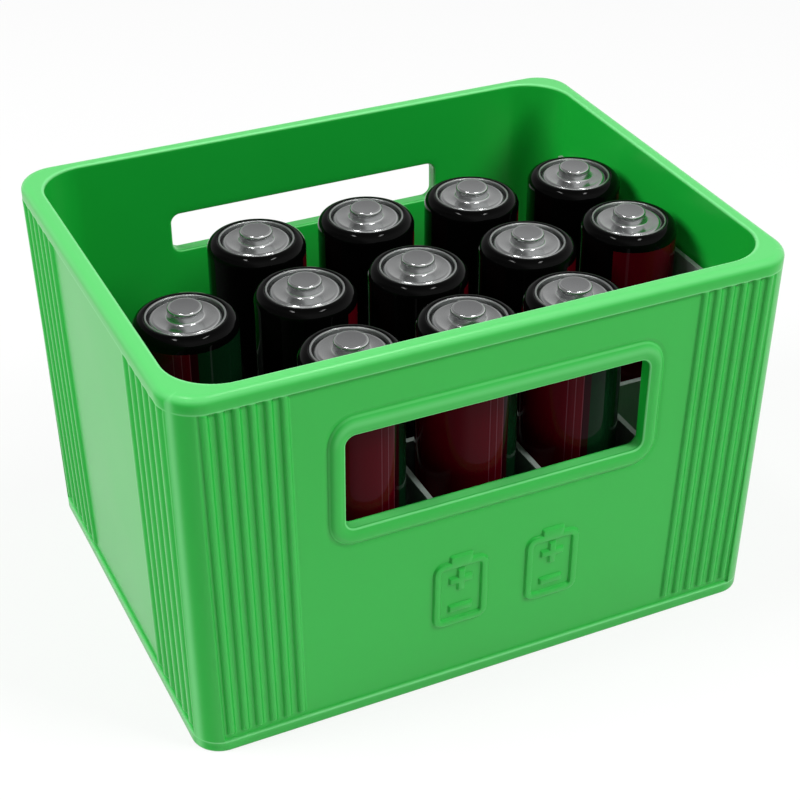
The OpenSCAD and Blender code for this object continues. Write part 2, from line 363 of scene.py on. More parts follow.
@dataclass(frozen=True)
class DrawnMetal(Finish):
    """Zinc or nickel-plated steel sheet, deep drawn and rubbed by handling: a clear metal shine
    with fine rings from the stamping and a faint cloudiness. It may be duller inside a radius."""

    name: str
    base: str
    wear_and_highlight: str
    roughness: float
    ring_mm: float = 0.25
    cloud_mm: float = 2.5
    dull_to: float = 0.0
    dull: str = "#A9AAAB"

    def dress(self, tree: bpy.types.NodeTree) -> tuple[dict, dict]:
        """Clouds in the colour and the gloss, rings as bump. The second number of the piece's
        UV is its radius."""
        place = add(tree, "TexCoord").outputs["Object"]
        cloud = add(tree, "TexNoise", {}, {"Scale": 1 / (self.cloud_mm * MM), "Detail": 3.0},
                    {"Vector": place})
        clear = add(tree, "Mix", COLOURS, {"A": linear(self.base), "B": linear(self.wear_and_highlight)},
                    {"Factor": cloud})
        wrap = add(tree, "UVMap", {"uv_map": "wrap"})
        radius = add(tree, "SeparateXYZ", links={"Vector": wrap}).outputs["Y"]
        inside = add(tree, "Math", {"operation": "LESS_THAN"}, {1: self.dull_to / UV_RADIUS},
                     {0: radius})
        colour = add(tree, "Mix", COLOURS, {"B": linear(self.dull)},
                     {"Factor": inside, "A": clear})
        gloss = add(tree, "MapRange", {}, {"To Min": self.roughness - 0.06,
                                           "To Max": self.roughness + 0.08}, {"Value": cloud})
        rings = add(tree, "Mapping", {}, {"Scale": (0.0, UV_RADIUS / self.ring_mm, 0.0)},
                    {"Vector": wrap})
        stamped = add(tree, "TexNoise", {}, {"Scale": 1.0, "Detail": 2.0}, {"Vector": rings})
        bump = add(tree, "Bump", {}, {"Strength": 0.12, "Distance": 0.03 * MM},
                   {"Height": stamped})
        return {"Metallic": 1.0}, {"Base Color": colour, "Roughness": gloss, "Normal": bump}


@dataclass(frozen=True)
class PressedFibre(Finish):
    """Vulcanised fibre, pressed and punched: near-black and dull, with a fine felted fleck."""

    name: str = "Vulcanised_fibre_black"
    base: str = "#080808"
    fleck: str = "#181818"
    roughness: float = 0.55
    fleck_mm: float = 0.3

    def dress(self, tree: bpy.types.NodeTree) -> tuple[dict, dict]:
        """The same fleck in the colour and as bump."""
        place = add(tree, "TexCoord").outputs["Object"]
        felt = add(tree, "TexNoise", {}, {"Scale": 1 / (self.fleck_mm * MM), "Detail": 4.0},
                   {"Vector": place})
        colour = add(tree, "Mix", COLOURS, {"A": linear(self.base), "B": linear(self.fleck)},
                     {"Factor": felt})
        bump = add(tree, "Bump", {}, {"Strength": 0.3, "Distance": 0.03 * MM}, {"Height": felt})
        return {"Roughness": self.roughness}, {"Base Color": colour, "Normal": bump}


# ---------------------------------------------------------------------- crate


@dataclass(frozen=True)
class GripSlot:
    """A grip slot with its raised frame: its size, its lower edge's height over the table, its
    corner radius, the frame's width beside it and above and below it, the frame's height and
    the rounding of the slot's edges. Sizes are in millimetres."""

    length: float
    height: float
    low: float
    corner_r: float = 1.5
    frame_w: float = 2.3
    frame_band: float = 2.8
    frame_h: float = 0.6
    lip: float = 0.3

    @property
    def middle(self) -> float:
        """Height of the slot's middle over the table."""
        return self.low + self.height / 2


@dataclass
class WallLine:
    """Half of one wall seen from above: half its length, the crate's half size across it, the
    stations along it at the collar's height, how far each follows the draft, and the height of
    the beads there."""

    half: float
    depth: float
    stations: np.ndarray
    follow: np.ndarray
    beads: np.ndarray


# Turns of the outer wall under the collar and at the foot band: height over the band's edge,
# how far the panels show, and painted highlight, a light line along the collar's edge and the ledge
UNDER_COLLAR = ((0.75, 0, 0), (0.3, 0, 0.1), (0.12, 0, 0.6), (0.04, 0.06, 0.6), (-0.02, 0.3, 0.2),
                (-0.06, 0.8, 0), (-0.1, 1.2, 0), (-0.35, 1.35, 0), (-0.6, 1.12, 0),
                (-0.85, 1, 0), (-1.2, 1, 0))
OVER_FOOT = ((0.16, 1, 0), (0.05, 0.94, 0), (0.01, 0.72, 0.3), (-0.02, 0.34, 0.9),
             (-0.06, 0.1, 1), (-0.14, 0, 0.7), (-0.3, 0, 0.1), (-0.8, 0, 0))
# Heights of rows: down the outer wall, closest at the beads' ends, and up the inner wall
BEAD_ROWS = (23.5, 20.0, 16.5, 13.0, 9.5, 6.5, 4.4, 3.5, 3.2, 3.05, 2.95, 2.85, 2.75, 2.65, 2.5,
             2.2)
LINING_ROWS = (5.9, 9.0, 14.0, 19.0, 23.5)
RIM_ROWS = (55.5, 57.4, 58.3)
FIELD_ROWS = 24
# Shares of the way out at which the floor and the deck under it have rings
DECK = (0.2, 0.5, 0.8, 0.97)
# Places across a bead, in half widths, and by a post's edge
BEAD_TURN = np.array([-1.06, -0.92, -0.72, -0.38, 0.0, 0.38, 0.72, 0.92, 1.06])
POST_EDGE = np.array([-0.06, 0.02, 0.10, 0.3])
# Shares of the frame's width at which its rounded face has rings
FRAME_SHARES = (1.0, 0.975, 0.94, 0.89, 0.82, 0.73, 0.62, 0.5, 0.38, 0.28, 0.2, 0.14)


def quarter_turn(count: int) -> np.ndarray:
    """Evenly spaced angles over a quarter of a turn."""
    return np.linspace(0, math.pi / 2, count)


@dataclass
class Crate:
    """The moulded crate: leaning walls with beads between posts, collar and foot band, a rounded
    rim, a raised floor and a framed grip slot in each long wall. Sizes are in millimetres."""

    length: float = 92.0
    width: float = 71.0
    height: float = 59.0
    draft: float = 1.3
    inner_draft: float = 0.5
    rim: float = 2.5
    corner_r: float = 5.6
    inner_corner_r: float = 7.4
    edge_r: float = 1.2
    inner_edge_r: float = 0.35
    foot_r: float = 0.3
    collar: float = 2.4
    foot_band: float = 1.8
    floor_top: float = 5.4
    floor_t: float = 2.0
    floor_ease: float = 0.12
    foot: float = 2.0
    foot_taper: float = 0.3
    post: float = 3.5
    recess: float = 0.45
    beads: int = 6
    long_pitch: float = 2.1
    short_pitch: float = 2.7
    groove: float = 0.85
    bead_h: float = 0.45
    bead_end: float = 2.8
    # Over what height a bead's lower end tapers, the easing of its root, and the width of the
    # turn from a post to the panel
    bead_taper: float = 0.4
    bead_ease: float = 0.04
    panel_turn: float = 0.16
    front_slot: GripSlot = GripSlot(length=45.6, height=15.1, low=32.8)
    back_slot: GripSlot = GripSlot(length=45.6, height=6.4, low=41.4)
    field_half: float = 27.5
    field_step: float = 1.1
    end_flat: float = 13.0
    end_step: float = 2.6
    field_z: tuple[float, float] = (27.0, 53.6)
    arc_columns: int = 20
    # Strength of the painted highlight on the rim and on the corners' rounds
    rim_highlight: float = 0.55
    post_highlight: float = 0.7

    def inset(self, z: float) -> float:
        """How far the outer wall leans in at height z."""
        return self.draft * (self.height - z) / self.height

    def inner_lean(self, z: float) -> float:
        """How far the inner wall leans in at height z."""
        return self.inner_draft * (self.height - z) / self.height

    # ------------------------------------------------------------- outlines

    def wall(self, half: float, depth: float, pitch: float, flat: float, step: float) -> WallLine:
        """Works out half of one wall.

        Stations are evenly spaced on the plain part and close together where a bead turns. A
        bead is the cap of a round bar: the root of bar radius squared minus distance squared,
        less the bar's sunken part, with the root of each bead eased.

        Args:
            half: Half the wall's length at the rim.
            depth: Half the crate's size across the wall.
            pitch: Spacing of the beads.
            flat: Where the evenly spaced plain part ends.
            step: Spacing in that part.

        Returns:
            The wall's line.
        """
        edge = half - self.inset(self.height - self.collar) - self.post
        bead = (pitch - self.groove) / 2
        centre = edge - (np.arange(self.beads)[::-1, None] + 0.5) * pitch
        first = centre[0, 0] + BEAD_TURN[0] * bead
        stations = np.concatenate([
            np.linspace(0, flat, round(flat / step) + 1), [(flat + first) / 2, first - 0.25],
            (centre + BEAD_TURN * bead).ravel(), edge + POST_EDGE])
        count = np.floor((edge - stations) / pitch)
        across = (edge - stations) - (count + 0.5) * pitch
        bar = (bead**2 + self.bead_h**2) / (2 * self.bead_h)
        cap = np.sqrt(np.maximum(bar * bar - across * across, 0)) - (bar - self.bead_h)
        cap = np.where((count >= 0) & (count < self.beads), cap, -5 * self.bead_ease)
        return WallLine(half, depth, stations, np.clip((stations - flat) / 1.5, 0, 1),
                        0.5 * (cap + np.sqrt(cap * cap + self.bead_ease**2)))

    def half_wall(self, line: WallLine, z: float, sunk: float, off: float) -> tuple:
        """Outer surface of half a wall at one height.

        Args:
            line: The wall's stations and sizes.
            z: The height.
            sunk: How far the panel shows, from 0 on collar and foot band to 1.
            off: Distance inwards, for the rounded edges.

        Returns:
            Places along the wall and how far out the surface is there.
        """
        ins = self.inset(z)
        radius = self.corner_r - ins - off
        along = line.stations - line.follow * (ins - self.inset(self.height - self.collar))
        past = np.maximum(along - (line.half - self.corner_r), 0)
        base = line.depth - self.corner_r + np.sqrt(radius**2 - past**2)
        edge = line.half - ins - self.post
        inside = smooth((edge + 0.02 - along) / self.panel_turn + 0.5) * sunk
        tip = smooth((z - self.bead_end + 0.15) / self.bead_taper)
        panel = line.depth - ins - self.recess + line.beads * tip
        return along, base + (panel - base) * inside

    def quarter(self, z: float, sunk: float = 0.0, off: float = 0.0) -> tuple:
        """Outer outline of a quarter of the crate at one height.

        Args:
            z: The height.
            sunk: How far the panels show.
            off: Distance inwards.

        Returns:
            X and Y from the front wall's middle, written as +Y, to the end wall's middle.
        """
        ax, ay = self.half_wall(self.long, z, sunk, off)
        by, bx = self.half_wall(self.short, z, sunk, off)
        radius = self.corner_r - self.inset(z) - off
        cx, cy = self.length / 2 - self.corner_r, self.width / 2 - self.corner_r
        start = math.asin((ax[-1] - cx) / radius)
        end = math.pi / 2 - math.asin((by[-1] - cy) / radius)
        turn = np.linspace(start, end, self.arc_columns + 2)[1:-1]
        x = np.concatenate([ax, cx + radius * np.sin(turn), bx[::-1]])
        y = np.concatenate([ay, cy + radius * np.cos(turn), by[::-1]])
        return x, y

    @staticmethod
    def ring(ref: tuple, cx: float, cy: float, radius: float) -> tuple:
        """A rounded rectangle seen from a reference outline: straight across where the reference
        lies beside its sides, and along the ray from the corner's centre past them.

        Args:
            ref: X and Y of the reference outline in the first quarter.
            cx: X of the corner's centre.
            cy: Y of the corner's centre.
            radius: The corner's radius.

        Returns:
            X and Y of the rounded rectangle.
        """
        dx, dy = np.maximum(ref[0] - cx, 0), np.maximum(ref[1] - cy, 0)
        reach = np.hypot(dx, dy)
        return (np.where(dx > 0, cx + radius * dx / reach, ref[0]),
                np.where(dy > 0, cy + radius * dy / reach, ref[1]))

    def inner(self, z: float, off: float = 0.0) -> tuple:
        """Inner wall's outline at height z, off millimetres into the wall."""
        cut = self.rim + self.inner_corner_r
        return self.ring(self.rim_ref, self.length / 2 - cut, self.width / 2 - cut,
                         self.inner_corner_r - self.inner_lean(z) + off)

    def under(self, z: float, off: float = 0.0) -> tuple:
        """Outline of the recess under the floor at height z, off millimetres outwards."""
        taper = self.foot_taper * z / (self.floor_top - self.floor_t)
        cut = self.draft + self.corner_r
        return self.ring(self.foot_ref, self.length / 2 - cut, self.width / 2 - cut,
                         self.corner_r - self.foot - taper + off)

    @staticmethod
    def whole(quarter: np.ndarray, signs: tuple = (1, 1, 1, 1)) -> np.ndarray:
        """Mirrors a quarter's values to the whole way round, each quarter with its sign."""
        parts = (quarter, quarter[-2::-1], quarter[1:], quarter[-2:0:-1])
        return np.concatenate([sign * part for sign, part in zip(signs, parts)])

    def around(self, outline: tuple) -> np.ndarray:
        """X and Y all the way round, from the front's middle, of a quarter's outline."""
        return np.stack([self.whole(outline[0], (1, 1, -1, -1)),
                         self.whole(outline[1], (-1, 1, 1, -1))], axis=-1)

    def wear_and_highlight(self) -> np.ndarray:
        """Painted highlight of the outer surface's columns, all the way round: a hump over the end
        wall's half of each corner's round, where the corner's edge catches the light."""
        turn = np.linspace(0.2, math.pi / 2 - 0.2, self.arc_columns)
        hump = self.post_highlight * np.exp(-(((turn - 1.18) / 0.22) ** 2))
        return self.whole(np.concatenate([np.zeros(len(self.long.stations)), hump,
                                          np.zeros(len(self.short.stations))]))

    # ----------------------------------------------------------------- rings

    def outer_rows(self) -> list[tuple[float, float, float, float]]:
        """Rows of the outer surface from the rim's flat down to the foot.

        Returns:
            Height, how far the panels show, distance inwards and painted highlight of each row.
        """
        top, r = self.height - self.edge_r, self.edge_r
        # The rim's outer rounding takes the rim's painted highlight, fading down the round
        rows = [(top + r * math.cos(a), 0.0, r * (1 - math.sin(a)),
                 self.rim_highlight * (1 - float(smooth((a - 0.85) / 0.6)))) for a in quarter_turn(8)]
        low = self.height - self.collar
        rows += [(low + z, sunk, 0.0, rub) for z, sunk, rub in UNDER_COLLAR]
        field = np.linspace(self.field_z[1], self.field_z[0], FIELD_ROWS)
        rows += [(z, 1.0, 0.0, 0.0) for z in (*field, *BEAD_ROWS)]
        rows += [(self.foot_band + z, sunk, 0.0, rub) for z, sunk, rub in OVER_FOOT]
        r = self.foot_r
        rows.append((1.5 * r, 0.0, 0.0, 0.0))
        rows += [(r - r * math.sin(a), 0.0, r * (1 - math.cos(a)), 0.0) for a in quarter_turn(4)]
        return rows

    def inner_rows(self) -> list[tuple[float, float, float]]:
        """Rows of the inner surface from the floor up to the rim's flat.

        Returns:
            Height, distance into the wall and edge rubbing of each row.
        """
        ease, r = self.floor_ease, self.inner_edge_r
        rows = [(self.floor_top, -ease, 0.0), (self.floor_top + ease, 0.0, 0.0)]
        field = np.linspace(*self.field_z, FIELD_ROWS)
        rows += [(z, 0.0, 0.0) for z in (*LINING_ROWS, *field, *RIM_ROWS)]
        # A painted highlight along the rim's inner edge
        rows += [(self.height - r * (1 - math.sin(a)), r * (1 - math.cos(a)),
                  min(1.0, 1.3 * math.sin(a))) for a in quarter_turn(6)]
        return rows

    def rings(self) -> list[tuple[np.ndarray, float, float | np.ndarray]]:
        """Rings from the floor's middle up the inner wall, over the rim, down the outer wall
        and under the floor to its middle.

        Returns:
            The outline, height and edge rubbing of each ring.
        """
        floor = self.around(self.inner(self.floor_top, -self.floor_ease))
        rings = [(floor * share, self.floor_top, 0.0) for share in DECK]
        rings += [(self.around(self.inner(z, off)), z, rub) for z, off, rub in self.inner_rows()]
        outer, wear_and_highlight = self.outer_rows(), self.wear_and_highlight()
        last, first = rings[-1][0], self.around(self.quarter(outer[0][0], off=outer[0][2]))
        # The rim's flat is painted paler as highlight
        rings += [(last + (first - last) * share, self.height, self.rim_highlight)
                  for share in (0.12, 0.5, 0.88)]
        rings += [(self.around(self.quarter(z, sunk, off)), z, np.maximum(rub, wear_and_highlight))
                  for z, sunk, off, rub in outer]
        deck = self.floor_top - self.floor_t
        rings += [(self.around(self.under(z, off)), z, 0.0)
                  for z, off in ((0.0, 0.2), (0.06, 0.06), (0.2, 0.0), (1.2, 0.0),
                                 (deck - 0.3, 0.0), (deck, -0.2))]
        return rings + [(rings[-1][0] * share, deck, 0.0) for share in DECK[::-1]]

    def build(self, material: bpy.types.Material) -> bpy.types.Object:
        """Builds the crate as one closed surface, with the two slots let in, and its signs.

        Args:
            material: The crate's material.

        Returns:
            The crate.
        """
        self.long = self.wall(self.length / 2, self.width / 2, self.long_pitch,
                              self.field_half, self.field_step)
        self.short = self.wall(self.width / 2, self.length / 2, self.short_pitch,
                               self.end_flat, self.end_step)
        self.rim_ref, self.foot_ref = self.quarter(self.height), self.quarter(0.0)
        rings = self.rings()
        count = len(rings[0][0])
        points = [np.column_stack([xy, np.full(count, z)]) for xy, z, _ in rings]
        points = np.concatenate([*points, [[0, 0, rings[0][1]], [0, 0, rings[-1][1]]]])
        # Painted highlight strength of every vertex
        edges = [np.full(count, rub) for _, _, rub in rings] + [np.zeros(2)]
        index = closed_grid(len(rings), count)
        poles = index.shape[0] * count + np.arange(2)
        keep = np.ones((len(rings) - 1, count), bool)
        in_low, in_high, out_high, out_low = [
            i for i, ring in enumerate(rings) if ring[1] in self.field_z]
        plain = round(self.field_half / self.field_step)
        faces, parts = [], [points]
        at = len(points)
        for side, middle in ((Side.FRONT, 0), (Side.BACK, count // 2)):
            columns = (middle + np.arange(-plain, plain + 1)) % count
            keep[in_low:in_high, columns[:-1]] = False
            keep[out_high:out_low, columns[:-1]] = False
            outside = self.loop(index, columns, out_low, out_high)
            inside = self.loop(index, columns, in_low, in_high)
            places, rubbed = self.slot_rings(side, points[outside])
            new = closed_grid(*rubbed.shape, at)
            at += rubbed.size
            parts.append(places.reshape(-1, 3))
            edges.append(rubbed.ravel())
            faces += grid_faces(np.vstack([np.append(outside, outside[0]), new,
                                           np.append(inside, inside[0])])).tolist()
        faces += grid_faces(index).reshape(*keep.shape, 4)[keep].tolist()
        for pole, ring in zip(poles, (index[0], index[-1, ::-1])):
            faces += np.column_stack([np.full(count, pole), ring[:-1], ring[1:]]).tolist()
        sign_points, sign_faces = self.signs(at)
        edges.append(np.zeros(len(sign_points)))
        mesh = smooth_mesh("moulded_crate", np.concatenate([*parts, sign_points]),
                           faces + sign_faces, edge=np.concatenate(edges))
        return stand_in(mesh, "crate", material, "crate")

    @staticmethod
    def loop(index: np.ndarray, columns: np.ndarray, low: int, high: int) -> np.ndarray:
        """Vertex numbers round the edge of a slot's field.

        Args:
            index: Vertex numbers by ring and column.
            columns: The field's columns, in order along the wall.
            low: The ring along the field's lower edge.
            high: The ring along its upper edge.

        Returns:
            The numbers, along the lower edge, up, back along the upper edge and down.
        """
        step = 1 if high > low else -1
        rows = np.arange(low, high + step, step)
        return np.concatenate([
            index[low, columns[:-1]], index[rows[:-1], columns[-1]],
            index[high, columns[:0:-1]], index[rows[:0:-1], columns[0]],
        ])

    def slot_rings(self, side: Side, field: np.ndarray) -> tuple[np.ndarray, np.ndarray]:
        """Rings from the outer wall's field over the raised frame, through the slot to the inner
        wall's field.

        Every ring lies at one distance from the slot's edge, measured along the ray from the
        slot's nearest corner centre to the field's edge, so the frame's profile is a height
        over that distance.

        Args:
            side: The wall.
            field: Places round the outer field.

        Returns:
            Places by ring and ray, and each ring's painted highlight.
        """
        turn = side.value
        slot = self.front_slot if side is Side.FRONT else self.back_slot
        px, pz = field[:, 0] * turn, field[:, 2] - slot.middle
        hx, hz = slot.length / 2 - slot.corner_r, slot.height / 2 - slot.corner_r
        cx, cz = np.clip(px, -hx, hx), np.clip(pz, -hz, hz)
        reach = np.hypot(px - cx, pz - cz)
        ux, uz = (px - cx) / reach, (pz - cz) / reach
        rings, rubbed = [], []

        def level(distance: np.ndarray | float) -> np.ndarray:
            """Height over the table at a distance from the slot's edge."""
            return cz + uz * (slot.corner_r + distance) + slot.middle

        def panel(distance: np.ndarray | float) -> np.ndarray:
            """Outward coordinate of the sunken panel at a distance from the slot's edge."""
            return self.width / 2 - self.recess - self.inset(level(distance))

        def lining(distance: np.ndarray | float) -> np.ndarray:
            """Outward coordinate of the inner wall at a distance from the slot's edge."""
            return self.width / 2 - self.rim - self.inner_lean(level(distance))

        def place(distance: np.ndarray | float, out: np.ndarray, rub: float | np.ndarray = 0.0):
            """Adds a ring at a distance from the slot's edge and a coordinate out of the wall."""
            x = cx + ux * (slot.corner_r + distance)
            rings.append(np.stack([x * turn, -out * turn, level(distance)], axis=-1))
            rubbed.append(np.broadcast_to(rub, reach.shape))

        end, h, lip = reach - slot.corner_r, slot.frame_h, slot.lip
        wide = slot.frame_w * ux**2 + slot.frame_band * uz**2
        near = wide + 0.75
        for share in (0.75, 0.5, 0.25, 0.0):
            distance = near + (end - near) * share
            place(distance, panel(distance))
        for beyond, sunk in ((0.4, 0.04), (0.2, 0.12), (0.05, 0.1)):
            place(wide + beyond, panel(wide + beyond) - sunk)
        for share in FRAME_SHARES:
            distance = lip + (wide - lip) * share
            # Painted highlight on the frame's upper band, and a light line on its outer edge
            top_band_highlight = 0.45 * math.exp(-(((share - 0.6) / 0.22) ** 2)) * np.maximum(uz, 0)
            place(distance, panel(distance) + h * self.crown(share), top_band_highlight + 0.3 * (share > 0.9))
        front, back = panel(0.0) + h * self.crown(0.08), lining(0.0)
        # Painted highlight on the slot's rounded front lip
        for a in quarter_turn(6):
            place(lip * (1 - math.sin(a)), front - lip * (1 - math.cos(a)), 0.8 * math.sin(2 * a))
        # The slot's sill is painted paler as highlight
        for share in (0.1, 0.5, 0.9):
            place(0.0, front - lip + (back - front + 2 * lip) * share, 0.5 * np.maximum(-uz, 0))
        # Painted highlight on the slot's rounded back lip
        for a in quarter_turn(5)[::-1]:
            place(lip * (1 - math.sin(a)), back + lip * (1 - math.cos(a)), 0.5 * math.sin(2 * a))
        for share in (0.15, 0.4, 0.7):
            distance = lip + (end - lip) * share
            place(distance, lining(distance))
        return np.array(rings), np.array(rubbed)

    @staticmethod
    def crown(share: float) -> float:
        """Height of the frame's rounded face across it, 1 at its crown: one less the distance
        from the crown to the power 2.6, with the crown a little nearer the slot."""
        half = (share - 0.45) / (0.55 if share > 0.45 else 0.62)
        return 1.0 - abs(half) ** 2.6

    # ----------------------------------------------------------------- signs

    def signs(self, start: int) -> tuple[np.ndarray, list]:
        """Raised outlines of two upright cells with a plus and a minus, on both long walls.

        Args:
            start: Vertex number that the first new point gets.

        Returns:
            Points and faces.
        """
        sign = CellSign()
        points, faces = [], []
        angle = math.atan(self.draft / self.height)
        up = np.array([0.0, -math.sin(angle), math.cos(angle)])
        out = np.array([0.0, -math.cos(angle), -math.sin(angle)])
        origin = np.array([0.0, self.draft - self.width / 2, 0.0])
        for side in Side:
            for x in (sign.middle - sign.pitch / 2, sign.middle + sign.pitch / 2):
                for shell, quads in sign.shells():
                    flat = origin + shell[:, 1:2] * up + (shell[:, 2:] - self.recess) * out
                    flat[:, 0] += shell[:, 0] + x
                    flat[:, :2] *= side.value
                    faces += [[i + start for i in face] for face in quads]
                    points.append(flat)
                    start += len(flat)
        return np.concatenate(points), faces


@dataclass(frozen=True)
class CellSign:
    """One raised sign: the outline of an upright cell with its tip, a plus and a minus."""

    width: float = 8.4
    height: float = 11.2
    pitch: float = 14.6
    middle: float = 2.0
    centre_z: float = 16.2
    line: float = 1.0
    relief: float = 0.4
    hole_r: float = 0.5
    ease: float = 0.12

    def levels(self) -> list[tuple[float, float]]:
        """Growth of the outline and height of each ring, from below the panel to the flat top."""
        e, top = self.ease, self.relief
        return [(2 * e, -0.15), (1.4 * e, 0.0), (0.9 * e, 0.12 * top), (0.1 * e, 0.6 * top),
                (-0.4 * e, 0.88 * top), (-1.1 * e, top)]

    @staticmethod
    def rounded(corners: np.ndarray, radii: np.ndarray, steps: int = 5) -> np.ndarray:
        """Rounds the corners of a closed outline of square corners.

        Each corner becomes an arc: its centre lies a radius inwards from both sides, and the arc
        runs from square to one side to square to the other.

        Args:
            corners: Corner places, in order.
            radii: Radius at each corner.
            steps: Points in each arc.

        Returns:
            The rounded outline.
        """
        before = np.roll(corners, 1, axis=0) - corners
        after = np.roll(corners, -1, axis=0) - corners
        before *= (radii / np.linalg.norm(before, axis=1))[:, None]
        after *= (radii / np.linalg.norm(after, axis=1))[:, None]
        angle = quarter_turn(steps)[None, :, None]
        centre = (corners + before + after)[:, None]
        arc = centre - after[:, None] * np.cos(angle) - before[:, None] * np.sin(angle)
        return arc.reshape(-1, 2)

    def body(self, grow: float) -> np.ndarray:
        """Outer outline of the cell with its tip, grown by a distance."""
        w, h = self.width / 2 + grow, self.height / 2 + grow
        t, top = 0.2 * self.width + grow, h + self.line
        corners = np.array([[-w, -h], [w, -h], [w, h], [t, h], [t, top], [-t, top], [-t, h],
                            [-w, h]])
        big, small = self.line + self.hole_r + grow, 0.25
        return self.rounded(corners, np.array([big, big, big, 0.12, small, small, 0.12, big]))

    def hole(self, grow: float) -> np.ndarray:
        """Inner outline of the cell, shrunk by a distance, with a point for each outer one."""
        w, h = self.width / 2 - self.line - grow, self.height / 2 - self.line - grow
        t = 0.16 * self.width
        corners = np.array([[-w, -h], [w, -h], [w, h], [t, h], [0.6 * t, h], [-0.6 * t, h],
                            [-t, h], [-w, h]])
        r = max(self.hole_r - grow, 0.1)
        return self.rounded(corners, np.array([r, r, r, 0.0, 0.0, 0.0, 0.0, r]))

    def cross(self, grow: float) -> np.ndarray:
        """Outline of the plus, grown by a distance."""
        a, b = 0.21 * self.width + grow, self.line / 2 + grow
        corners = np.array([[-b, -a], [b, -a], [b, -b], [a, -b], [a, b], [b, b], [b, a], [-b, a],
                            [-b, b], [-a, b], [-a, -b], [-b, -b]]) + [0, 0.2 * self.height]
        return self.rounded(corners, np.full(12, 0.1), 3)

    def bar(self, grow: float) -> np.ndarray:
        """Outline of the minus, grown by a distance."""
        a, b = 0.21 * self.width + grow, self.line / 2 + grow
        corners = np.array([[-a, -b], [a, -b], [a, b], [-a, b]]) - [0, 0.25 * self.height]
        return self.rounded(corners, np.full(4, 0.12), 3)

    def shells(self) -> list[tuple[np.ndarray, list]]:
        """Closed shells of one sign, in wall coordinates: along, up and out of the panel.

        Returns:
            Points and faces of the outlined cell, the plus and the minus.
        """
        levels = self.levels()
        frame_rings = [self.lift(self.body(g), h) for g, h in levels]
        frame_rings += [self.lift(self.hole(g), h) for g, h in levels[::-1]]
        index = closed_grid(len(frame_rings), len(frame_rings[0]))
        quads = grid_faces(np.vstack([index, index[:1]])).tolist()
        shells = [(np.concatenate(frame_rings), quads)]
        for outline in (self.cross, self.bar):
            rings = [self.lift(outline(g), h) for g, h in levels]
            index = closed_grid(len(rings), len(rings[0]))
            ends = [index[0, -2::-1].tolist(), index[-1, :-1].tolist()]
            shells.append((np.concatenate(rings), grid_faces(index).tolist() + ends))
        return shells

    def lift(self, outline: np.ndarray, out: float) -> np.ndarray:
        """Places an outline on the wall at a height over the panel."""
        return np.column_stack([outline + [0, self.centre_z], np.full(len(outline), out)])


# -------------------------------------------------------------- divider insert


@dataclass
class DividerInsert:
    """The lift-out grid: two end panels and seven notched strips, cut from thin sheet."""

    ends: tuple[str, ...] = ("left", "right")
    long_strips: int = 3
    cross_strips: int = 4
    edge_mm: float = 0.1
    # Points closer than merge, in metres, become one, and faces that meet at less than
    # flat_angle, in radians, become one
    merge: float = 1e-6
    flat_angle: float = 0.01

    def build(self, material: bpy.types.Material) -> list[bpy.types.Object]:
        """Gives every sheet its cut edges, eased as a die leaves them.

        Args:
            material: The sheet's material.

        Returns:
            The nine sheets.
        """
        nodes = [f"end_panel_{end}" for end in self.ends]
        nodes += [f"long_strip_{i + 1}" for i in range(self.long_strips)]
        nodes += [f"cross_strip_{i + 1}" for i in range(self.cross_strips)]
        made = []
        for node in nodes:
            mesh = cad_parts[node].data.copy()
            mesh.name = node + "_sheet"
            work = bmesh.new()
            work.from_mesh(mesh)
            bmesh.ops.remove_doubles(work, verts=work.verts, dist=self.merge)
            bmesh.ops.dissolve_limit(work, angle_limit=self.flat_angle, verts=work.verts,
                                     edges=work.edges)
            work.to_mesh(mesh)
            work.free()
            mesh.materials.clear()
            obj = stand_in(mesh, "divider_insert", material, node)
            bevel = obj.modifiers.new("cut_edge", "BEVEL")
            bevel.width = self.edge_mm * MM
            bevel.segments = 2
            bevel.limit_method = "ANGLE"
            made.append(obj)
        return made


# ----------------------------------------------------------------------- cells


def revolve(profile: np.ndarray, closed: bool, steps: int, turn: float, scale: tuple) -> tuple:
    """Turns a profile about the upright axis: x is radius times cosine, y radius times sine.

    Args:
        profile: Radius and height of each point.
        closed: True if the last point joins the first, else both ends lie on the axis.
        steps: Columns round the axis.
        turn: Where the wrap's seam lies, as a share of the way round.
        scale: What the second UV number takes of a millimetre of radius and of height.

    Returns:
        Points, faces and the UV place of every face corner.
    """
    angle = np.linspace(0, 2 * math.pi, steps, endpoint=False)
    radius, height = profile[:, :1], profile[:, 1:]
    points = np.stack([radius * np.cos(angle), radius * np.sin(angle),
                       np.broadcast_to(height, (len(profile), steps))], axis=-1)
    index = closed_grid(len(profile), steps)
    across = profile @ np.array(scale)
    if closed:
        index = np.vstack([index, index[:1]])
        across = np.append(across, across[0])
    around, across = np.meshgrid(np.linspace(0, 1, steps + 1) + turn, across)
    wide = np.stack([around, across], axis=-1)
    corner = np.stack([wide[:-1, :-1], wide[:-1, 1:], wide[1:, 1:], wide[1:, :-1]], axis=2)
    return points.reshape(-1, 3), grid_faces(index), corner.reshape(-1, 2)


def arc(cx: float, cz: float, radius: float, start: float, end: float, count: int) -> np.ndarray:
    """Points on an arc of a profile: centre plus radius times cosine and sine, in degrees."""
    a = np.radians(np.linspace(start, end, count))
    return np.column_stack([cx + radius * np.cos(a), cz + radius * np.sin(a)])


@dataclass(frozen=True)
class CellFinishes:
    """The four materials of a cell."""

    jacket: bpy.types.Material
    can: bpy.types.Material
    washer: bpy.types.Material
    contact: bpy.types.Material


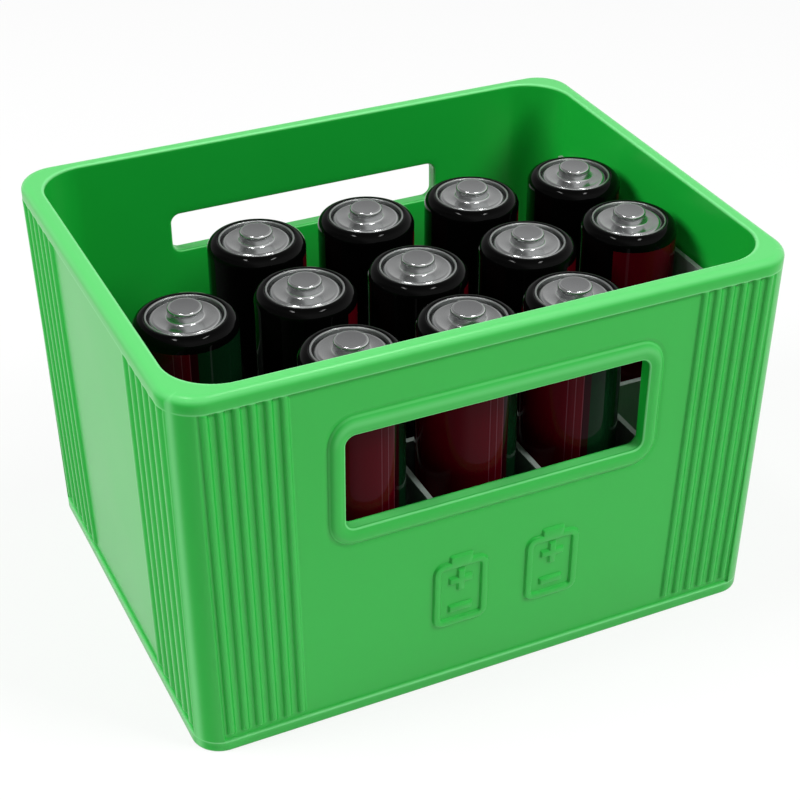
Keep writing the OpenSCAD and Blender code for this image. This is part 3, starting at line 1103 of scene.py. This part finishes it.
@dataclass
class Cell:
    """One round cell: a drawn can in a printed sleeve, an insulating washer and the stamped
    contact with its tip. Sizes are in millimetres, heights from the cell's own foot."""

    number: int
    turn: float
    radius: float = 7.2
    sleeve: float = 0.35
    shoulder: float = 1.5
    mouth: float = 5.6
    top: float = 49.05
    can_top: float = 47.9
    lip: float = 0.33
    gap: float = 0.04
    plate: float = 4.95
    plate_z: float = 48.8
    plate_edge: float = 0.55
    tip: float = 2.4
    tip_z: float = 50.4
    tip_edge: float = 0.35
    tip_foot: float = 0.4
    foot_r: float = 0.8
    base: float = 5.0
    steps: int = 96

    def jacket_profile(self) -> np.ndarray:
        """Closed outline of the sleeve: up its outside, over the shoulder, into the mouth, down
        its inside and round the foot."""
        r, s, t, low = self.radius, self.shoulder, self.sleeve, 0.2
        over = self.top - s
        return np.concatenate([
            arc(r - self.foot_r, low + self.foot_r, self.foot_r, -90, 0, 6),
            [[r, 4.0], [r, 16.0], [r, 30.0], [r, 44.0], [r, over - 0.6]],
            arc(r - s, over, s, 0, 84, 14),
            [[self.mouth + 0.06, self.top - 0.02], [self.mouth + 0.01, self.top - 0.09],
             [self.mouth, self.top - 0.2], [self.mouth, self.top - t + 0.04]],
            arc(r - s, over, s - t, 86, 0, 8),
            [[r - t, 30.0], [r - t, 4.0]],
            arc(r - self.foot_r, low + self.foot_r, self.foot_r - t, 0, -90, 4),
        ])

    def can_profile(self) -> np.ndarray:
        """Half outline of the can with its rolled lip, from the top's middle to the foot's."""
        r = self.radius - self.sleeve - self.gap
        lip_out = self.mouth - self.gap
        lip_in = lip_out - self.lip
        s = self.shoulder
        low = 0.2 + self.sleeve + self.gap
        return np.concatenate([
            [[0, self.can_top], [2.5, self.can_top], [lip_in - 0.12, self.can_top]],
            [[lip_in, self.can_top + 0.1], [lip_in, self.top - 0.22]],
            arc((lip_in + lip_out) / 2, self.top - 0.165, 0.165, 180, 0, 7),
            [[lip_out, self.can_top + 0.05], [r - s + 0.15, self.can_top]],
            arc(r - s, self.can_top - s, s, 80, 0, 8),
            [[r, 30.0], [r, 4.0]],
            arc(r - 0.45, low + 0.45, 0.45, 0, -90, 5),
            [[self.base + 0.02, low], [self.base, low - 0.1], [self.base, 0.15]],
            arc(self.base - 0.15, 0.15, 0.15, 0, -90, 4)[1:],
            [[2.5, 0.0], [0, 0.0]],
        ])

    def washer_profile(self) -> np.ndarray:
        """Closed outline of the washer, its edges eased."""
        z0 = self.can_top + self.gap
        z1 = z0 + 0.35
        inner, outer = self.plate - 1.0, self.mouth - self.lip - 2 * self.gap
        e = 0.07
        return np.concatenate([
            arc(outer - e, z0 + e, e, -90, 0, 3), arc(outer - e, z1 - e, e, 0, 90, 3),
            arc(inner + e, z1 - e, e, 90, 180, 3), arc(inner + e, z0 + e, e, 180, 270, 3),
        ])

    def contact_profile(self) -> np.ndarray:
        """Half outline of the stamped contact, from the tip's middle over its rounded shoulder,
        down to a dished plate with a rolled edge, and back under it."""
        z0 = self.can_top + 0.35 + 2 * self.gap
        p, t, e, f = self.plate, self.tip, self.tip_edge, self.tip_foot
        return np.concatenate([
            [[0, self.tip_z - 0.05], [0.9, self.tip_z - 0.045], [t - 0.75, self.tip_z - 0.015]],
            arc(t - e, self.tip_z - e, e, 96, 0, 10),
            arc(t + f, self.plate_z + f - 0.08, f, 180, 262, 12),
            [[t + f + 0.35, self.plate_z - 0.1], [4.1, self.plate_z - 0.06]],
            arc(p - self.plate_edge, self.plate_z - self.plate_edge, self.plate_edge, 98, 0, 10),
            [[p - 0.02, z0 + 0.02], [p - 0.1, z0], [2.5, z0], [0, z0]],
        ])

    def build(self, finishes: CellFinishes) -> list[bpy.types.Object]:
        """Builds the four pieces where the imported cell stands.

        Args:
            finishes: The materials.

        Returns:
            The pieces.
        """
        name = f"cell_{self.number:02d}"
        low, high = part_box(name + "_jacket")
        shift = np.array([(low.x + high.x) / 2, (low.y + high.y) / 2,
                          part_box(name + "_can")[0].z]) / MM
        per_height, per_radius = (0.0, 1 / self.tip_z), (1 / UV_RADIUS, 0.0)
        made = []
        for part, profile, closed, slot, material, scale in (
            ("jacket", self.jacket_profile(), True, Slot.JACKET, finishes.jacket, per_height),
            ("can", self.can_profile(), False, Slot.CAN, finishes.can, per_radius),
            ("washer", self.washer_profile(), True, Slot.WASHER, finishes.washer, per_radius),
            ("contact_cap", self.contact_profile(), False, Slot.CONTACT, finishes.contact,
             per_radius),
        ):
            points, faces, wrap = revolve(profile, closed, self.steps, self.turn, scale)
            mesh = smooth_mesh(f"{name}_{part}_surface", points + shift, faces.tolist(), wrap)
            made.append(stand_in(mesh, name, material, f"{name}_{part}"))
        return made


# ---------------------------------------------------------------------- studio


@dataclass(frozen=True)
class Lamp:
    """A soft box: its direction round from the front, rising to the right, and its height angle
    in degrees, its distance, width and height in metres, how bright it makes a white face square
    to it, where 1 is white, and whether shiny surfaces mirror it."""

    round_deg: float
    up_deg: float
    distance: float
    width: float
    height: float
    level: float
    mirrored: bool


@dataclass
class Studio:
    """Plain pale floor, soft lamps and the camera. Lengths are in metres, angles in degrees."""

    camera_at: tuple[float, float, float] = (-0.09707, -0.21152, 0.17796)
    camera_turn: tuple[float, float, float] = (56.9857, -0.6472, -26.0112)
    lens: float = 81.469
    sensor: float = 36.0
    shift_x: float = -0.05
    lamps: tuple[Lamp, ...] = (
        Lamp(-116.9, 75.2, 0.60, 0.16, 0.035, 0.16, True),
        Lamp(68.9, 72.7, 0.60, 0.16, 0.035, 0.16, True),
        Lamp(-102.0, 42.0, 0.60, 0.26, 0.26, 0.76, False),
        Lamp(45.0, 45.0, 0.60, 0.22, 0.22, 0.70, False),
    )
    centre_z: float = 0.03
    floor_half: float = 3.0
    paper: str = "#F2F2F2"
    # How much of the floor's white is its own glow, where it is seen
    floor_glow: float = 0.82
    ambient: float = 0.12
    # The white surroundings that the crate mirrors: white in front and low down, fading upwards
    # and to the back along an axis that leans back. The two ends are cosines from that axis.
    lean_deg: float = 30.0
    sweep_from: float = 0.35
    sweep_to: float = 1.0
    ceiling: float = 0.2
    # A dark flag dims what shiny surfaces mirror round this direction. Its ends are cosines.
    flag_deg: float = -80.0
    flag_from: float = 0.3
    flag_to: float = 0.72
    flag_dim: float = 0.3

    def build(self) -> None:
        """Builds floor, world, lamps and camera, and sets the view transform."""
        self.floor()
        self.world()
        for lamp in self.lamps:
            self.hang(lamp)
        self.camera()
        bpy.context.scene.view_settings.view_transform = "Standard"

    def seen_rays(self, tree: bpy.types.NodeTree) -> bpy.types.Node:
        """Adds nodes that give 1 to rays from the camera, from gloss and through glass."""
        path = add(tree, "LightPath").outputs
        gloss = add(tree, "Math", {"operation": "MAXIMUM"},
                    links={0: path["Is Camera Ray"], 1: path["Is Glossy Ray"]})
        return add(tree, "Math", {"operation": "MAXIMUM"},
                   links={0: gloss, 1: path["Is Transmission Ray"]})

    def floor(self) -> None:
        """Makes the floor: pale paper that shows white to the camera and keeps the shadow."""
        mesh = bpy.data.meshes.new("studio_floor")
        half = self.floor_half
        mesh.from_pydata([(-half, -half, 0), (half, -half, 0), (half, half, 0),
                          (-half, half, 0)], [], [(0, 1, 2, 3)])
        material, tree = new_material("Paper_backdrop_pale")
        paper = add(tree, "BsdfDiffuse", {}, {"Color": linear(self.paper)})
        glow = add(tree, "Emission", {}, {"Color": WHITE, "Strength": 1.0})
        lit = add(tree, "MixShader", {}, {0: self.floor_glow}, {1: paper, 2: glow})
        seen = add(tree, "MixShader", links={0: self.seen_rays(tree), 1: paper, 2: lit})
        add(tree, "OutputMaterial", links={"Surface": seen})
        mesh.materials.append(material)
        obj = show(mesh)
        obj.visible_glossy = False

    def world(self) -> None:
        """Makes the world: white to the camera, the fading sweep to gloss, else a dim light."""
        world = bpy.data.worlds.new("studio_world")
        world.use_nodes = True
        tree = world.node_tree
        tree.nodes.clear()
        way = add(tree, "TexCoord").outputs["Generated"]
        lean, flag = math.radians(self.lean_deg), math.radians(self.flag_deg)
        rise = add(tree, "VectorMath", {"operation": "DOT_PRODUCT"},
                   {1: (0.0, math.sin(lean), math.cos(lean))}, {0: way})
        sweep = add(tree, "MapRange", {}, {"From Min": self.sweep_from, "From Max": self.sweep_to,
                                           "To Min": 1.0, "To Max": self.ceiling},
                    {"Value": rise})
        along = add(tree, "VectorMath", {"operation": "DOT_PRODUCT"},
                    {1: (math.sin(flag), -math.cos(flag), 0.0)}, {0: way})
        dim = add(tree, "MapRange", {"interpolation_type": "SMOOTHSTEP"},
                  {"From Min": self.flag_from, "From Max": self.flag_to, "To Min": 1.0,
                   "To Max": self.flag_dim}, {"Value": along})
        mirrored = add(tree, "Math", {"operation": "MULTIPLY"}, links={0: sweep, 1: dim})
        camera = add(tree, "LightPath").outputs["Is Camera Ray"]
        seen = add(tree, "Mix", {"data_type": "FLOAT"}, {"B": 1.0},
                   {"Factor": camera, "A": mirrored})
        strength = add(tree, "Mix", {"data_type": "FLOAT"}, {"A": self.ambient},
                       {"Factor": self.seen_rays(tree), "B": seen})
        light = add(tree, "Background", {}, {"Color": WHITE}, {"Strength": strength})
        add(tree, "OutputWorld", links={"Surface": light})
        bpy.context.scene.world = world

    def hang(self, lamp: Lamp) -> None:
        """Hangs a soft box that faces the crate.

        Args:
            lamp: The soft box.
        """
        a, e = math.radians(lamp.round_deg), math.radians(lamp.up_deg)
        way = np.array([math.sin(a) * math.cos(e), -math.cos(a) * math.cos(e), math.sin(e)])
        data = bpy.data.lights.new(f"soft_box_{round(lamp.round_deg)}", "AREA")
        data.shape = "RECTANGLE"
        data.size, data.size_y = lamp.width, lamp.height
        data.energy = lamp.level * math.pi**2 * lamp.distance**2
        obj = show(data)
        obj.location = tuple(way * lamp.distance + np.array([0, 0, self.centre_z]))
        obj.rotation_euler = (math.pi / 2 - e, 0, a)
        obj.visible_glossy = lamp.mirrored

    def camera(self) -> None:
        """Sets the camera where the photograph's perspective puts it."""
        data = bpy.data.cameras.new("camera")
        data.lens, data.shift_x, data.sensor_width = self.lens, self.shift_x, self.sensor
        data.clip_start, data.clip_end = 0.01, 20.0
        obj = show(data)
        obj.location = self.camera_at
        obj.rotation_euler = [math.radians(v) for v in self.camera_turn]
        bpy.context.scene.camera = obj


# ------------------------------------------------------------------------ main

# How far each cell's sleeve is turned, as a share of the way round
CELL_TURNS = (0.22, 0.21, 0.22, 0.24, 0.73, 0.26, 0.24, 0.28, 0.484, 0.613, 0.636, 0.727)


def main() -> None:
    """Builds the studio, the crate, the divider insert and the cells."""
    logging.basicConfig(level=logging.INFO, format="%(name)s: %(message)s")
    Studio().build()
    made = [Crate().build(MouldedPolypropylene().material())]
    made += DividerInsert().build(ExtrudedSheet().material())
    finishes = CellFinishes(
        jacket=PrintedShrinkWrap().material(),
        can=DrawnMetal("Zinc_can_drawn", "#B9BBBA", "#A3A6A5", 0.32).material(),
        washer=PressedFibre().material(),
        contact=DrawnMetal("Nickel_plated_steel_stamped", "#C9CACA", "#B6B8B8", 0.18,
                           dull_to=1.95).material(),
    )
    for i, turn in enumerate(CELL_TURNS):
        made += Cell(number=i + 1, turn=turn).build(finishes)
    for piece in made:
        log.info("%s: %d faces", piece.name, len(piece.data.polygons))


if __name__ == "__main__":
    main()
